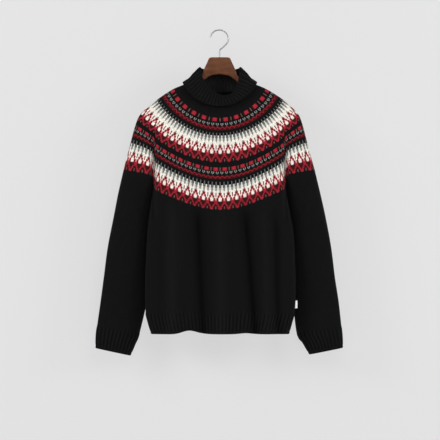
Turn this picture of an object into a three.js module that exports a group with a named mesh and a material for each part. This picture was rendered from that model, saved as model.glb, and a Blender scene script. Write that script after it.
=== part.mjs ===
// A roll-neck fair isle jumper on a wooden hanger, in millimetres, with +Z up.
// The origin is the inside top of the hook, where a rail carries the hanger.
// The front faces -Y, and +X is on the right of someone who looks at the front.
// Each knitted piece is a wall: an outer face worked out from short tables, and a plain inner face
// moved in by the wall's thickness. An angle runs round a tube, anticlockwise from +X seen from above,
// and a level runs down it.

import * as THREE from "three";

// Driving sizes of the knitting
const WALL = 3;
const SEAM = 0.3;
const HALF_SEAM = SEAM / 2;
const RIB_RISE = 1.2;
const COLLAR_LAYER_GAP = 1.3;
const COLLAR_FLARE = 4;
const COLLAR_RIBS = 48;
const HEM_RIBS_A_SIDE = 44;
const CUFF_RIBS = 24;
const HEM_SEAM_Z = -773;
const HEM_EDGE_Z = -833;

// Driving sizes of the hanger
const HOOK_WIRE = 3.6;
const WIRE_SIDES = 8;
const WIRE_STEPS = 34;
const HOOK_RADIUS = 25;
const HOOK_CENTRE_X = -0.9;
const HOOK_BEND = { tip: 168, end: -15, steps: 7 };
const HOOK_STEM = [
  { x: 16, z: -39.5 },
  { x: 6, z: -48.5 },
  { x: 0.8, z: -52.5 },
  { x: 0, z: -59 },
];
const WOOD_THICKNESS = 13;
const WOOD_BEVEL = 4.5;
const WOOD_CORNER = 0.3;
const ARM_STATIONS = [96, 110, 130, 150, 170, 182];
const ARM_ROOT_X = 49;
const ARM_TIP_X = 191;
const ARM_HEIGHT = 20;
const ARM_TIP_HEIGHT = 13;
const TIP_BEVEL = { x: 3, z: 4 };
const CLOTH_CLEARANCE = 2.4;

// The hanger's head, from its middle out to the arms: the wood's upper and lower edge.
const WOOD_HEAD = [
  { x: 0, top: -73, bottom: -120 },
  { x: 22, top: -73, bottom: -123 },
  { x: 28.5, top: -75.5, bottom: -126 },
  { x: 35, top: -89, bottom: -130 },
  { x: 42, top: -104, bottom: -135 },
  { x: 49, top: -121, bottom: -141 },
  { x: 72, top: -142, bottom: -162 },
];

// Driving sizes of the side label
const LABEL_WIDTH = 6;
const LABEL_HEIGHT = 21;
const LABEL_THICKNESS = 1;
const LABEL_TOP_Z = -741;
const LABEL_SEAT = 0.5;
const LABEL_TILT_DEGREES = 2;

// Levels of collar and yoke. left, right: half widths. sideZ: height of the shoulder or sleeve edge.
// frontZ, backZ: heights at the centre. bow: how a level sweeps up from its centre to its side.
// lean: how far the front sinks on the right and climbs on the left.
const YOKE_LEVELS = [
  { at: -0.3, left: 51, right: 54, sideZ: -101, frontZ: -176, backZ: -108, bow: 0.42, lean: 20 },
  { at: -0.15, left: 68, right: 71, sideZ: -121, frontZ: -192, backZ: -138, bow: 0.55, lean: 10 },
  { at: 0, left: 86, right: 88, sideZ: -142, frontZ: -206, backZ: -168, bow: 0.7, lean: 0 },
  { at: 0.13, left: 129, right: 130, sideZ: -161, frontZ: -244, backZ: -206, bow: 0.75, lean: 0 },
  { at: 0.3, left: 176, right: 179, sideZ: -193, frontZ: -294, backZ: -258, bow: 0.8, lean: 0 },
  { at: 0.45, left: 215, right: 214, sideZ: -228, frontZ: -337, backZ: -303, bow: 0.9, lean: 0 },
  { at: 0.57, left: 229, right: 226, sideZ: -256, frontZ: -371, backZ: -340, bow: 1.05, lean: 0 },
  { at: 0.78, left: 246, right: 242, sideZ: -317, frontZ: -430, backZ: -402, bow: 1.3, lean: 0 },
  { at: 1, left: 264, right: 261.5, sideZ: -385, frontZ: -492, backZ: -465, bow: 1.5, lean: 0 },
];

// The same levels in depth. fold: distance of the armhole folds from the centre. notch: how deep they
// are pulled in. step: how much higher the sleeve side of a fold lies. front, back: half depths.
const YOKE_DEPTHS = [
  { at: -0.3, fold: 36, notch: 0, step: 0, front: 33, back: 25 },
  { at: -0.15, fold: 50, notch: 0, step: 0, front: 37, back: 29 },
  { at: 0, fold: 64, notch: 0, step: 0, front: 40, back: 33 },
  { at: 0.13, fold: 95, notch: 0, step: 0, front: 42, back: 37 },
  { at: 0.3, fold: 140, notch: 0, step: 0, front: 44, back: 40 },
  { at: 0.45, fold: 168, notch: 3, step: 4, front: 46, back: 42 },
  { at: 0.57, fold: 177, notch: 9, step: 12, front: 47, back: 44 },
  { at: 0.78, fold: 180, notch: 19, step: 24, front: 48, back: 46 },
  { at: 1, fold: 181, notch: 26, step: 32, front: 48, back: 47 },
];
const YOKE_ROWS = [0, 0.06, 0.14, 0.22, 0.3, 0.38, 0.46, 0.56, 0.67, 0.78, 0.9, 1];
const YOKE_ROUNDNESS = 2.5;
const FOLD_HALF_WIDTH = 12;
const STEP_BELOW = 0.25;
const STEP_REACH = 50;
const COLLAR_TOP = -0.3;
const COLLAR_EDGE = 0.014;
const COLLAR_SIDE_REACH = 2.2;
const YOKE_LENGTH = 290;

// Sections of the body: half widths left and right of the centre, and half depths.
const BODY_SECTIONS = [
  { z: -400, left: 181, right: 181, front: 48, back: 47 },
  { z: -476, left: 192, right: 191, front: 48, back: 47 },
  { z: -545, left: 198, right: 202, front: 46, back: 46 },
  { z: -621, left: 202, right: 207, front: 44, back: 44 },
  { z: -712, left: 205, right: 209, front: 42, back: 42 },
  { z: -773, left: 203, right: 206, front: 40, back: 40 },
  { z: -803, left: 196, right: 198, front: 38, back: 38 },
  { z: -833, left: 187, right: 190, front: 36, back: 36 },
];
const BODY_ROWS = [0.07, 0.15, 0.26, 0.42, 0.6, 0.8];
const BODY_ROUNDNESS = 2.6;
const BODY_LENGTH = 320;
const HEM_LENGTH = 60;
const UNDERARM_ANGLE = 0.36;
const UNDERARM_DROP = 14;
const HEM_SEAM_WAVE = 0.12;
const BLEND_END = 0.4;
const TINY = 1e-9;

// Sections of each sleeve: its outer and inner edge, and half its thickness. A level over 1 is cuff.
const SLEEVE_SECTIONS = {
  left: [
    { at: 0, outerX: -264, outerZ: -385, outerY: 0, innerX: -184, innerZ: -418, innerY: 0, thick: 30 },
    { at: 0.15, outerX: -277, outerZ: -443, outerY: 1, innerX: -191.5, innerZ: -462, innerY: 18, thick: 29 },
    { at: 0.33, outerX: -290, outerZ: -509, outerY: 3, innerX: -195, innerZ: -520, innerY: 25, thick: 27 },
    { at: 0.55, outerX: -307, outerZ: -595, outerY: 5, innerX: -196, innerZ: -602, innerY: 31, thick: 24 },
    { at: 0.75, outerX: -318, outerZ: -678, outerY: 6, innerX: -199, innerZ: -685, innerY: 36, thick: 21 },
    { at: 0.9, outerX: -327, outerZ: -745, outerY: 7, innerX: -203, innerZ: -755, innerY: 38, thick: 18.5 },
    { at: 1, outerX: -336, outerZ: -808, outerY: 8, innerX: -219, innerZ: -826, innerY: 37, thick: 16 },
    { at: 1.5, outerX: -339.5, outerZ: -840, outerY: 8, innerX: -232, innerZ: -860, innerY: 35, thick: 13.5 },
    { at: 2, outerX: -340, outerZ: -872, outerY: 8, innerX: -246, innerZ: -893, innerY: 33, thick: 13 },
  ],
  right: [
    { at: 0, outerX: 261.5, outerZ: -385, outerY: 0, innerX: 184, innerZ: -418, innerY: 0, thick: 30 },
    { at: 0.15, outerX: 275, outerZ: -443, outerY: 1, innerX: 191, innerZ: -462, innerY: 18, thick: 29 },
    { at: 0.33, outerX: 290, outerZ: -509, outerY: 3, innerX: 196, innerZ: -520, innerY: 25, thick: 27 },
    { at: 0.55, outerX: 306, outerZ: -595, outerY: 5, innerX: 200, innerZ: -602, innerY: 33, thick: 24 },
    { at: 0.75, outerX: 316.5, outerZ: -678, outerY: 6, innerX: 203, innerZ: -685, innerY: 38, thick: 21 },
    { at: 0.9, outerX: 327, outerZ: -745, outerY: 7, innerX: 203.5, innerZ: -755, innerY: 39, thick: 18.5 },
    { at: 1, outerX: 334, outerZ: -808, outerY: 8, innerX: 211, innerZ: -825, innerY: 38, thick: 16 },
    { at: 1.5, outerX: 337, outerZ: -840, outerY: 8, innerX: 230, innerZ: -859, innerY: 36, thick: 13.5 },
    { at: 2, outerX: 338, outerZ: -871, outerY: 8, innerX: 248, innerZ: -890, innerY: 34, thick: 13 },
  ],
};
const SLEEVE_ROWS = [0.06, 0.14, 0.26, 0.4, 0.55, 0.7, 0.85];
const SLEEVE_ROUNDNESS = 2.3;
const SLEEVE_LENGTH = 420;
const CUFF_LENGTH = 60;

// The yoke's edge climbs steeply into each armhole fold, so what hangs from it starts this much lower.
const YOKE_EASE = 0.8;
const SLEEVE_EASE = 1.9;

// Below the yoke, a wall turns from the yoke's own direction to its own within this share of its length.
const EDGE_REACH = 0.15;

// Steps for working out which way a surface faces.
const ANGLE_STEP = 0.01;
const LEVEL_STEP = 0.004;

// Soft upright folds of yoke and body. topX, hemX: where a fold starts and ends. out: how far it
// stands proud, or sinks where it is negative. from: the height where it starts.
const FRONT_FOLDS = [
  { topX: -128, hemX: -130, out: 7, width: 17, from: -440 },
  { topX: -62, hemX: -44, out: -9, width: 16, from: -450 },
  { topX: 2, hemX: 4, out: 6, width: 18, from: -460 },
  { topX: 66, hemX: 98, out: -9, width: 15, from: -450 },
  { topX: 120, hemX: 128, out: 4, width: 13, from: -450 },
  { topX: 150, hemX: 158, out: -5, width: 12, from: -470 },
];
const BACK_FOLDS = [
  { topX: -120, hemX: -138, out: -8, width: 16, from: -430 },
  { topX: -66, hemX: -78, out: 6, width: 17, from: -450 },
  { topX: -14, hemX: -22, out: -8, width: 16, from: -440 },
  { topX: 46, hemX: 56, out: 6, width: 18, from: -460 },
  { topX: 108, hemX: 124, out: -8, width: 16, from: -440 },
];
const FOLD_RAMP = 90;
const HEM_WAVES = [
  { x: -78, rise: 10, width: 34 },
  { x: 66, rise: 3, width: 26 },
];

const COLOURS = {
  knit: { color: 0x15151a, roughness: 0.95, metalness: 0 },
  pattern: { color: 0x7a2a36, roughness: 0.95, metalness: 0 },
  wood: { color: 0x69442e, roughness: 0.45, metalness: 0 },
  chrome: { color: 0xc4c6c8, roughness: 0.15, metalness: 1 },
  label: { color: 0xf0efea, roughness: 0.8, metalness: 0 },
};

const jumper = new THREE.Group();
jumper.name = "fair_isle_jumper";

// Small helpers

function clamp01(value) {
  return Math.min(1, Math.max(0, value));
}

function smooth(from, to, value) {
  const t = clamp01((value - from) / (to - from));
  return t * t * (3 - 2 * t);
}

function bell(distance, width) {
  return Math.exp(-((distance / width) ** 2));
}

function signedPower(value, power) {
  return Math.sign(value) * Math.abs(value) ** power;
}

function wrapAngle(angle) {
  return Math.atan2(Math.sin(angle), Math.cos(angle));
}

// Reads a smooth curve through one column of a table, along its key column.
function fromTable(rows, key, column, value) {
  const rising = rows[1][key] > rows[0][key];
  let i = 0;
  while (i < rows.length - 2 && (rising ? value > rows[i + 1][key] : value < rows[i + 1][key])) {
    i += 1;
  }
  const slope = (a, b) => (rows[b][column] - rows[a][column]) / (rows[b][key] - rows[a][key]);
  const span = rows[i + 1][key] - rows[i][key];
  const t = (value - rows[i][key]) / span;
  const start = i > 0 ? slope(i - 1, i + 1) : slope(i, i + 1);
  const end = i < rows.length - 2 ? slope(i, i + 2) : slope(i, i + 1);
  if (t < 0) {
    return rows[i][column] + start * span * t;
  }
  if (t > 1) {
    return rows[i + 1][column] + end * span * (t - 1);
  }
  const across = 3 * t * t - 2 * t * t * t;
  const startPart = (t * t * t - 2 * t * t + t) * span * start;
  const endPart = (t * t * t - t * t) * span * end;
  return rows[i][column] * (1 - across) + rows[i + 1][column] * across + startPart + endPart;
}

// Surfaces

function foldOut(folds, x, z) {
  let out = 0;
  for (const fold of folds) {
    const along = clamp01((fold.from - z) / (fold.from - HEM_EDGE_Z));
    const middle = fold.topX + (fold.hemX - fold.topX) * along;
    out += fold.out * bell(x - middle, fold.width) * smooth(0, FOLD_RAMP, fold.from - z);
  }
  return out;
}

function withFolds(point, isBack) {
  const folds = isBack ? BACK_FOLDS : FRONT_FOLDS;
  const out = foldOut(folds, point.x, point.z);
  point.y += isBack ? out : -out;
  return point;
}

function readYoke(column, level) {
  return fromTable(column in YOKE_DEPTHS[0] ? YOKE_DEPTHS : YOKE_LEVELS, "at", column, level);
}

// Collar and yoke before the upright folds are added.
function yokeBase(angle, level) {
  const read = (column) => readYoke(column, level);
  const isBack = Math.sin(angle) > 0;
  const half = Math.cos(angle) < 0 ? read("left") : read("right");
  const reach = Math.min(1, Math.abs(Math.cos(angle)));
  const fromFold = reach * half - read("fold");
  const centreZ = isBack ? read("backZ") : read("frontZ");
  const sweep = (1 - reach * reach) ** read("bow");
  const stepShare = smooth(-FOLD_HALF_WIDTH, FOLD_HALF_WIDTH, fromFold) - STEP_BELOW;
  const step = Math.max(0, read("step")) * stepShare * bell(fromFold, STEP_REACH);
  const lean = isBack ? 0 : read("lean") * Math.cos(angle) * sweep;
  const z = read("sideZ") + (centreZ - read("sideZ")) * sweep + step - lean;
  const depth = isBack ? read("back") : read("front");
  const full = depth * (1 - reach ** YOKE_ROUNDNESS) ** (1 / YOKE_ROUNDNESS);
  const notch = Math.max(0, read("notch")) * bell(fromFold, FOLD_HALF_WIDTH);
  const y = full - notch * clamp01(full / depth);
  return new THREE.Vector3(half * Math.cos(angle), isBack ? y : -y, z);
}

function yokeSurface(angle, level) {
  return withFolds(yokeBase(angle, level), Math.sin(angle) > 0);
}

// The angle on the yoke's lower edge that lies at a given x.
function yokeAngleAt(x, level, isBack) {
  const half = readYoke(x < 0 ? "left" : "right", level);
  const angle = Math.acos(Math.max(-1, Math.min(1, x / half)));
  return isBack ? angle : -angle;
}

function armholeFold(side, isBack, gapShare) {
  const fold = readYoke("fold", 1) + gapShare * SEAM;
  return yokeBase(yokeAngleAt(side * fold, 1, isBack), 1);
}

// From the front armhole fold, under the arm, to the back one, as share runs from 0 to 1.
function underarm(side, share, gapShare) {
  const front = armholeFold(side, false, gapShare);
  const back = armholeFold(side, true, gapShare);
  const point = front.lerp(back, share);
  point.z -= UNDERARM_DROP * Math.sin(Math.PI * share);
  return point;
}

// The angle on the yoke that a body angle hangs from, or null under the arm.
function yokeAngleOverBody(angle) {
  const side = Math.cos(angle) < 0 ? -1 : 1;
  const fromSide = side > 0 ? wrapAngle(angle) : wrapAngle(Math.PI - angle);
  if (Math.abs(fromSide) < UNDERARM_ANGLE - TINY) {
    return null;
  }
  const share = (Math.abs(wrapAngle(angle)) - UNDERARM_ANGLE) / (Math.PI - 2 * UNDERARM_ANGLE);
  const fold = readYoke("fold", 1) - HALF_SEAM;
  return yokeAngleAt(fold * Math.cos(share * Math.PI), 1, fromSide > 0);
}

// The upper edge of the body: the yoke's edge in front and behind, and the underarms at the sides.
function bodyTop(angle) {
  const yokeAngle = yokeAngleOverBody(angle);
  if (yokeAngle !== null) {
    return yokeBase(yokeAngle, 1);
  }
  const side = Math.cos(angle) < 0 ? -1 : 1;
  const fromSide = side > 0 ? wrapAngle(angle) : wrapAngle(Math.PI - angle);
  return underarm(side, (fromSide / UNDERARM_ANGLE + 1) / 2, -0.5);
}

function hemWave(x) {
  return HEM_WAVES.reduce((sum, wave) => sum + wave.rise * bell(x - wave.x, wave.width), 0);
}

function bodySection(angle, z) {
  const read = (column) => fromTable(BODY_SECTIONS, "z", column, z);
  const half = Math.cos(angle) < 0 ? read("left") : read("right");
  const depth = Math.sin(angle) > 0 ? read("back") : read("front");
  const power = 2 / BODY_ROUNDNESS;
  const x = half * signedPower(Math.cos(angle), power);
  const y = depth * signedPower(Math.sin(angle), power);
  return new THREE.Vector3(x, y, z);
}

// Body and hem. A level runs from 0 to 1 down the body, and from 1 to 2 down the hem.
function bodySurface(angle, level) {
  const top = bodyTop(angle);
  const isBack = Math.sin(angle) > 0;
  const wave = hemWave(top.x);
  const seamZ = HEM_SEAM_Z + HEM_SEAM_WAVE * wave;
  const edgeZ = HEM_EDGE_Z + wave;
  const z = level < 1 ? top.z + (seamZ - top.z) * level : seamZ + (edgeZ - seamZ) * (level - 1);
  const point = bodySection(angle, z);
  const pull = 1 - smooth(0, BLEND_END, level);
  const topSection = bodySection(angle, top.z);
  point.x += (top.x - topSection.x) * pull;
  point.y += (top.y - topSection.y) * pull;
  return withFolds(point, isBack);
}

// The angle on the yoke that a sleeve hangs from, or null under the arm. A turn runs round the
// sleeve from its outer edge, and is positive behind.
function yokeAngleOverSleeve(side, turn) {
  const inner = Math.PI - UNDERARM_ANGLE;
  if (Math.abs(turn) > inner + TINY) {
    return null;
  }
  const half = readYoke(side < 0 ? "left" : "right", 1);
  const fold = readYoke("fold", 1) + HALF_SEAM;
  const x = fold + ((half - fold) * (1 + Math.cos((Math.PI * turn) / inner))) / 2;
  return yokeAngleAt(side * x, 1, turn > 0);
}

// The upper edge of a sleeve: the yoke's edge over the arm, and the underarm inside.
function sleeveTop(side, turn) {
  const yokeAngle = yokeAngleOverSleeve(side, turn);
  if (yokeAngle !== null) {
    return yokeBase(yokeAngle, 1);
  }
  const fromInner = wrapAngle(turn + Math.PI);
  return underarm(side, (1 - fromInner / UNDERARM_ANGLE) / 2, 0.5);
}

function sleeveSection(side, turn, level) {
  const rows = side < 0 ? SLEEVE_SECTIONS.left : SLEEVE_SECTIONS.right;
  const read = (column) => fromTable(rows, "at", column, level);
  const outer = new THREE.Vector3(read("outerX"), read("outerY"), read("outerZ"));
  const inner = new THREE.Vector3(read("innerX"), read("innerY"), read("innerZ"));
  const centre = outer.clone().add(inner).multiplyScalar(0.5);
  const halfWidth = outer.clone().sub(inner).multiplyScalar(0.5);
  const across = new THREE.Vector3(-halfWidth.y * side, Math.abs(halfWidth.x), 0).normalize();
  const power = 2 / SLEEVE_ROUNDNESS;
  centre.addScaledVector(halfWidth, signedPower(Math.cos(turn), power));
  centre.addScaledVector(across, read("thick") * signedPower(Math.sin(turn), power));
  return centre;
}

// Sleeve and cuff. A level runs from 0 to 1 down the sleeve, and from 1 to 2 down the cuff.
function sleeveSurface(side) {
  const turnOf = (angle) => (side > 0 ? wrapAngle(angle) : wrapAngle(Math.PI - angle));
  const surface = (angle, level) => {
    const turn = turnOf(angle);
    const point = sleeveSection(side, turn, level);
    const pull = 1 - smooth(0, BLEND_END, level);
    const offset = sleeveTop(side, turn).sub(sleeveSection(side, turn, 0));
    return point.addScaledVector(offset, pull);
  };
  surface.yokeAngle = (angle) => yokeAngleOverSleeve(side, turnOf(angle));
  return surface;
}

// Building walls

function normalOf(surface, angle, level) {
  const round = surface(angle + ANGLE_STEP, level).sub(surface(angle - ANGLE_STEP, level));
  const down = surface(angle, level + LEVEL_STEP).sub(surface(angle, level - LEVEL_STEP));
  return down.cross(round).normalize();
}

// A point moved out of its surface. Below the yoke the direction starts as the yoke's own, so that
// the walls meet edge to edge.
function movedOut(surface, angle, level, out) {
  const normal = normalOf(surface, angle, level);
  const yokeAngle = surface.yokeAngle && level < EDGE_REACH ? surface.yokeAngle(angle) : null;
  if (yokeAngle !== null) {
    normal.lerp(normalOf(yokeSurface, yokeAngle, 1), 1 - smooth(0, EDGE_REACH, level)).normalize();
  }
  return surface(angle, level).addScaledVector(normal, out);
}

// The cut edge of a plain wall, as a closed loop of levels and distances out of the surface.
function plainWall(levels) {
  const outside = levels.map((level) => ({ level, out: 0 }));
  const inside = [...levels].reverse().map((level) => ({ level, out: -WALL }));
  return [...outside, ...inside];
}

function ribbedWall(top, bottom) {
  const at = (share) => top + (bottom - top) * share;
  return [
    { level: at(0), out: 0 },
    { level: at(0.08), out: 0, rib: true },
    { level: at(0.83), out: 0, rib: true },
    { level: at(0.88), out: 0 },
    { level: at(0.94), out: 0.5 },
    { level: at(1), out: -0.6 },
    { level: at(1), out: -WALL + 0.4 },
    { level: at(0), out: -WALL },
  ];
}

// A solid swept round a surface: the loop at one column, joined to the loop at the next. A column
// gives its angle at each level. An open sweep gets end caps.
function sweptSolid(surface, columns, loop, closed) {
  const positions = [];
  columns.forEach((angleAt, column) => {
    for (const edge of loop) {
      const rise = edge.rib && column % 2 === 0 ? RIB_RISE : 0;
      positions.push(...movedOut(surface, angleAt(edge.level), edge.level, edge.out + rise));
    }
  });
  const size = loop.length;
  const faces = [];
  const spans = closed ? columns.length : columns.length - 1;
  for (let column = 0; column < spans; column += 1) {
    joinRings(faces, column * size, ((column + 1) % columns.length) * size, size);
  }
  if (!closed) {
    addEndCaps(faces, loop, spans * size);
  }
  return facingOut(positions, faces);
}

// Two triangles between each pair of points of two neighbouring loops.
function joinRings(faces, here, there, size) {
  for (let i = 0; i < size; i += 1) {
    const next = (i + 1) % size;
    faces.push(here + i, here + next, there + i, there + i, here + next, there + next);
  }
}

// Flat faces over both ends of an open sweep, wound against the loop at the first end.
function addEndCaps(faces, loop, last) {
  const outline = loop.map((edge) => new THREE.Vector2(edge.level * BODY_LENGTH, edge.out));
  const loopTurn = Math.sign(THREE.ShapeUtils.area(outline));
  for (const [a, b, c] of THREE.ShapeUtils.triangulateShape(outline, [])) {
    const turn = Math.sign(THREE.ShapeUtils.area([outline[a], outline[b], outline[c]]));
    const [p, q, r] = turn === loopTurn ? [a, c, b] : [a, b, c];
    faces.push(p, q, r, last + p, last + r, last + q);
  }
}

// A geometry from points and faces, with every face turned out.
function facingOut(positions, faces) {
  let volume = 0;
  const corner = (i) => new THREE.Vector3().fromArray(positions, 3 * i);
  for (let i = 0; i < faces.length; i += 3) {
    volume += corner(faces[i]).dot(corner(faces[i + 1]).cross(corner(faces[i + 2])));
  }
  if (volume < 0) {
    faces.reverse();
  }
  const geometry = new THREE.BufferGeometry();
  geometry.setAttribute("position", new THREE.Float32BufferAttribute(positions, 3));
  geometry.setIndex(faces);
  geometry.computeVertexNormals();
  return geometry;
}

function addMesh(name, geometry, finish) {
  const mesh = new THREE.Mesh(geometry, new THREE.MeshStandardMaterial(finish));
  mesh.name = name;
  jumper.add(mesh);
  return mesh;
}

function evenLevels(from, to, count) {
  return Array.from({ length: count + 1 }, (_, i) => from + ((to - from) * i) / count);
}

// Angles round a surface so that its columns are evenly spaced at one level.
function evenAngles(surface, level, from, to, count) {
  const fine = 720;
  const marks = evenLevels(from, to, fine);
  const lengths = [0];
  for (let i = 1; i <= fine; i += 1) {
    lengths.push(lengths[i - 1] + surface(marks[i], level).distanceTo(surface(marks[i - 1], level)));
  }
  const angles = [];
  let i = 0;
  for (let k = 0; k <= count; k += 1) {
    const target = (lengths[fine] * k) / count;
    while (i < fine - 1 && lengths[i + 1] < target) {
      i += 1;
    }
    const share = (target - lengths[i]) / (lengths[i + 1] - lengths[i]);
    angles.push(marks[i] + (marks[i + 1] - marks[i]) * clamp01(share));
  }
  return angles;
}

// Knitted pieces

function fixedColumns(angles) {
  return angles.map((angle) => () => angle);
}

// The collar follows the yoke, and its folded edge reaches further down at the sides.
function collarSurface(angle, level) {
  const reach = 1 + COLLAR_SIDE_REACH * Math.cos(angle) ** 2;
  return yokeSurface(angle, level > 0 ? level * reach : level);
}

// One rib tube, folded outward at its top. The loop runs down the outer layer and up the inner one.
function addCollar() {
  const angles = evenAngles(yokeBase, COLLAR_EDGE, 0, 2 * Math.PI, 2 * COLLAR_RIBS).slice(0, -1);
  const outer = COLLAR_LAYER_GAP + WALL;
  const seam = -HALF_SEAM / YOKE_LENGTH;
  const loop = [
    { level: -0.285, out: outer - 0.7 },
    { level: -0.26, out: outer, rib: true },
    { level: -0.1, out: outer + COLLAR_FLARE / 2, rib: true },
    { level: COLLAR_EDGE - 0.012, out: outer + COLLAR_FLARE, rib: true },
    { level: COLLAR_EDGE, out: outer + COLLAR_FLARE - 0.6 },
    { level: COLLAR_EDGE, out: COLLAR_LAYER_GAP + COLLAR_FLARE + 0.3 },
    { level: -0.1, out: COLLAR_LAYER_GAP + COLLAR_FLARE / 2 },
    { level: -0.265, out: COLLAR_LAYER_GAP },
    { level: -0.265, out: 0 },
    { level: seam, out: 0 },
    { level: seam, out: -WALL },
    { level: -0.15, out: -WALL },
    { level: -0.27, out: -WALL },
    { level: -0.296, out: -1.2 },
    { level: COLLAR_TOP, out: 1 },
  ];
  addMesh("collar", sweptSolid(collarSurface, fixedColumns(angles), loop, true), COLOURS.knit);
}

// A column of the yoke keeps its share of the way from side to armhole fold, or from fold to centre,
// so that one column follows each fold all the way down.
function yokeColumn(quarter, part, share) {
  const side = quarter === 0 || quarter === 3 ? "right" : "left";
  return (level) => {
    const fold = readYoke("fold", level) / readYoke(side, level);
    const beyond = fold + ((1 - fold) * (1 + Math.cos(Math.PI * share))) / 2;
    const within = fold * Math.cos((Math.PI / 2) * share);
    const turn = Math.acos(Math.min(1, part === "arm" ? beyond : within));
    return [turn, Math.PI - turn, Math.PI + turn, 2 * Math.PI - turn][quarter];
  };
}

function addYoke() {
  const armSteps = 7;
  const bodySteps = 10;
  const toCentre = (quarter) => [
    ...evenLevels(0, 1, armSteps).slice(0, -1).map((share) => yokeColumn(quarter, "arm", share)),
    ...evenLevels(0, 1, bodySteps).slice(0, -1).map((share) => yokeColumn(quarter, "body", share)),
  ];
  const toSide = (quarter) => [
    ...evenLevels(1, 0, bodySteps).slice(0, -1).map((share) => yokeColumn(quarter, "body", share)),
    ...evenLevels(1, 0, armSteps).slice(0, -1).map((share) => yokeColumn(quarter, "arm", share)),
  ];
  const columns = [...toCentre(0), ...toSide(1), ...toCentre(2), ...toSide(3)];
  const seam = HALF_SEAM / YOKE_LENGTH;
  const rows = YOKE_ROWS.map((level) => Math.min(1 - seam, Math.max(seam, level)));
  addMesh("yoke", sweptSolid(yokeSurface, columns, plainWall(rows), true), COLOURS.pattern);
}

// Angles across one body panel, from one side seam to the other.
function panelAngles(from) {
  const underarmSteps = 2;
  const frontSteps = 20;
  const to = from + Math.PI;
  return [
    ...evenLevels(from, from + UNDERARM_ANGLE, underarmSteps).slice(0, -1),
    ...evenLevels(from + UNDERARM_ANGLE, to - UNDERARM_ANGLE, frontSteps),
    ...evenLevels(to - UNDERARM_ANGLE, to, underarmSteps).slice(1),
  ];
}

function addBodyPanel(name, from, towards) {
  const surface = (angle, level) => {
    const point = bodySurface(angle, level);
    point.y += towards * HALF_SEAM;
    return point;
  };
  surface.yokeAngle = yokeAngleOverBody;
  const rows = [(HALF_SEAM + YOKE_EASE) / BODY_LENGTH, ...BODY_ROWS, 1 - HALF_SEAM / BODY_LENGTH];
  const columns = fixedColumns(panelAngles(from));
  addMesh(`body_${name}`, sweptSolid(surface, columns, plainWall(rows), false), COLOURS.knit);
  const ribs = evenAngles(bodySurface, 1.5, from, from + Math.PI, 2 * HEM_RIBS_A_SIDE);
  const hemWall = ribbedWall(1 + HALF_SEAM / HEM_LENGTH, 2);
  addMesh(`hem_${name}`, sweptSolid(surface, fixedColumns(ribs), hemWall, false), COLOURS.knit);
}

function addSleeve(name, side) {
  const surface = sleeveSurface(side);
  const inner = Math.PI - UNDERARM_ANGLE;
  const turns = [
    ...evenLevels(-inner, inner, 14),
    ...evenLevels(inner, inner + 2 * UNDERARM_ANGLE, 4).slice(1, -1),
  ];
  const angles = turns.map((turn) => (side > 0 ? turn : Math.PI - turn));
  const rows = [(HALF_SEAM + SLEEVE_EASE) / SLEEVE_LENGTH, ...SLEEVE_ROWS, 1 - HALF_SEAM / SLEEVE_LENGTH];
  addMesh(`sleeve_${name}`, sweptSolid(surface, fixedColumns(angles), plainWall(rows), true), COLOURS.knit);
  const ribs = evenAngles(surface, 1.5, 0, 2 * Math.PI, 2 * CUFF_RIBS).slice(0, -1);
  const cuffWall = ribbedWall(1 + HALF_SEAM / CUFF_LENGTH, 2);
  addMesh(`cuff_${name}`, sweptSolid(surface, fixedColumns(ribs), cuffWall, true), COLOURS.knit);
}

// A plain tab that stands out of the side seam on the right.
function addLabel() {
  const seamTop = bodySurface(0, 0).z;
  const middleZ = LABEL_TOP_Z - LABEL_HEIGHT / 2;
  const edge = bodySurface(0, (seamTop - middleZ) / (seamTop - HEM_SEAM_Z));
  const label = new THREE.BoxGeometry(LABEL_WIDTH, LABEL_THICKNESS, LABEL_HEIGHT);
  const mesh = addMesh("side_label", label, COLOURS.label);
  mesh.position.set(edge.x - LABEL_SEAT + LABEL_WIDTH / 2, edge.y, middleZ);
  mesh.rotation.y = THREE.MathUtils.degToRad(LABEL_TILT_DEGREES);
}

// The hanger

// The height of the yoke's shoulder line, along its flat facets.
function shoulderZ(x, side) {
  const line = YOKE_ROWS.map((level) => [
    readYoke(side, level),
    readYoke("sideZ", level),
  ]);
  let i = 0;
  while (line[i + 1][0] < x) {
    i += 1;
  }
  const share = (x - line[i][0]) / (line[i + 1][0] - line[i][0]);
  return line[i][1] + (line[i + 1][1] - line[i][1]) * share;
}

function armTopZ(x) {
  const cloth = Math.min(shoulderZ(x, "left"), shoulderZ(x, "right"));
  const slope = (shoulderZ(x + 1, "right") - shoulderZ(x - 1, "right")) / 2;
  return cloth - WALL * Math.hypot(1, slope) - CLOTH_CLEARANCE;
}

// The wood's upper and lower edge at stations from its middle to the tip of an arm.
function woodStations() {
  const arm = ARM_STATIONS.map((x) => {
    const share = (x - ARM_ROOT_X) / (ARM_TIP_X - ARM_ROOT_X);
    const height = ARM_HEIGHT + (ARM_TIP_HEIGHT - ARM_HEIGHT) * share;
    return { x, top: armTopZ(x), bottom: armTopZ(x) - height };
  });
  const top = armTopZ(ARM_TIP_X - TIP_BEVEL.x);
  const bottom = top - ARM_TIP_HEIGHT;
  const tip = [
    { x: ARM_TIP_X - TIP_BEVEL.x, top: top - 0.5, bottom: bottom + 1 },
    { x: ARM_TIP_X, top: top - TIP_BEVEL.z, bottom: bottom + TIP_BEVEL.z },
  ];
  return [...WOOD_HEAD, ...arm, ...tip];
}

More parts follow.
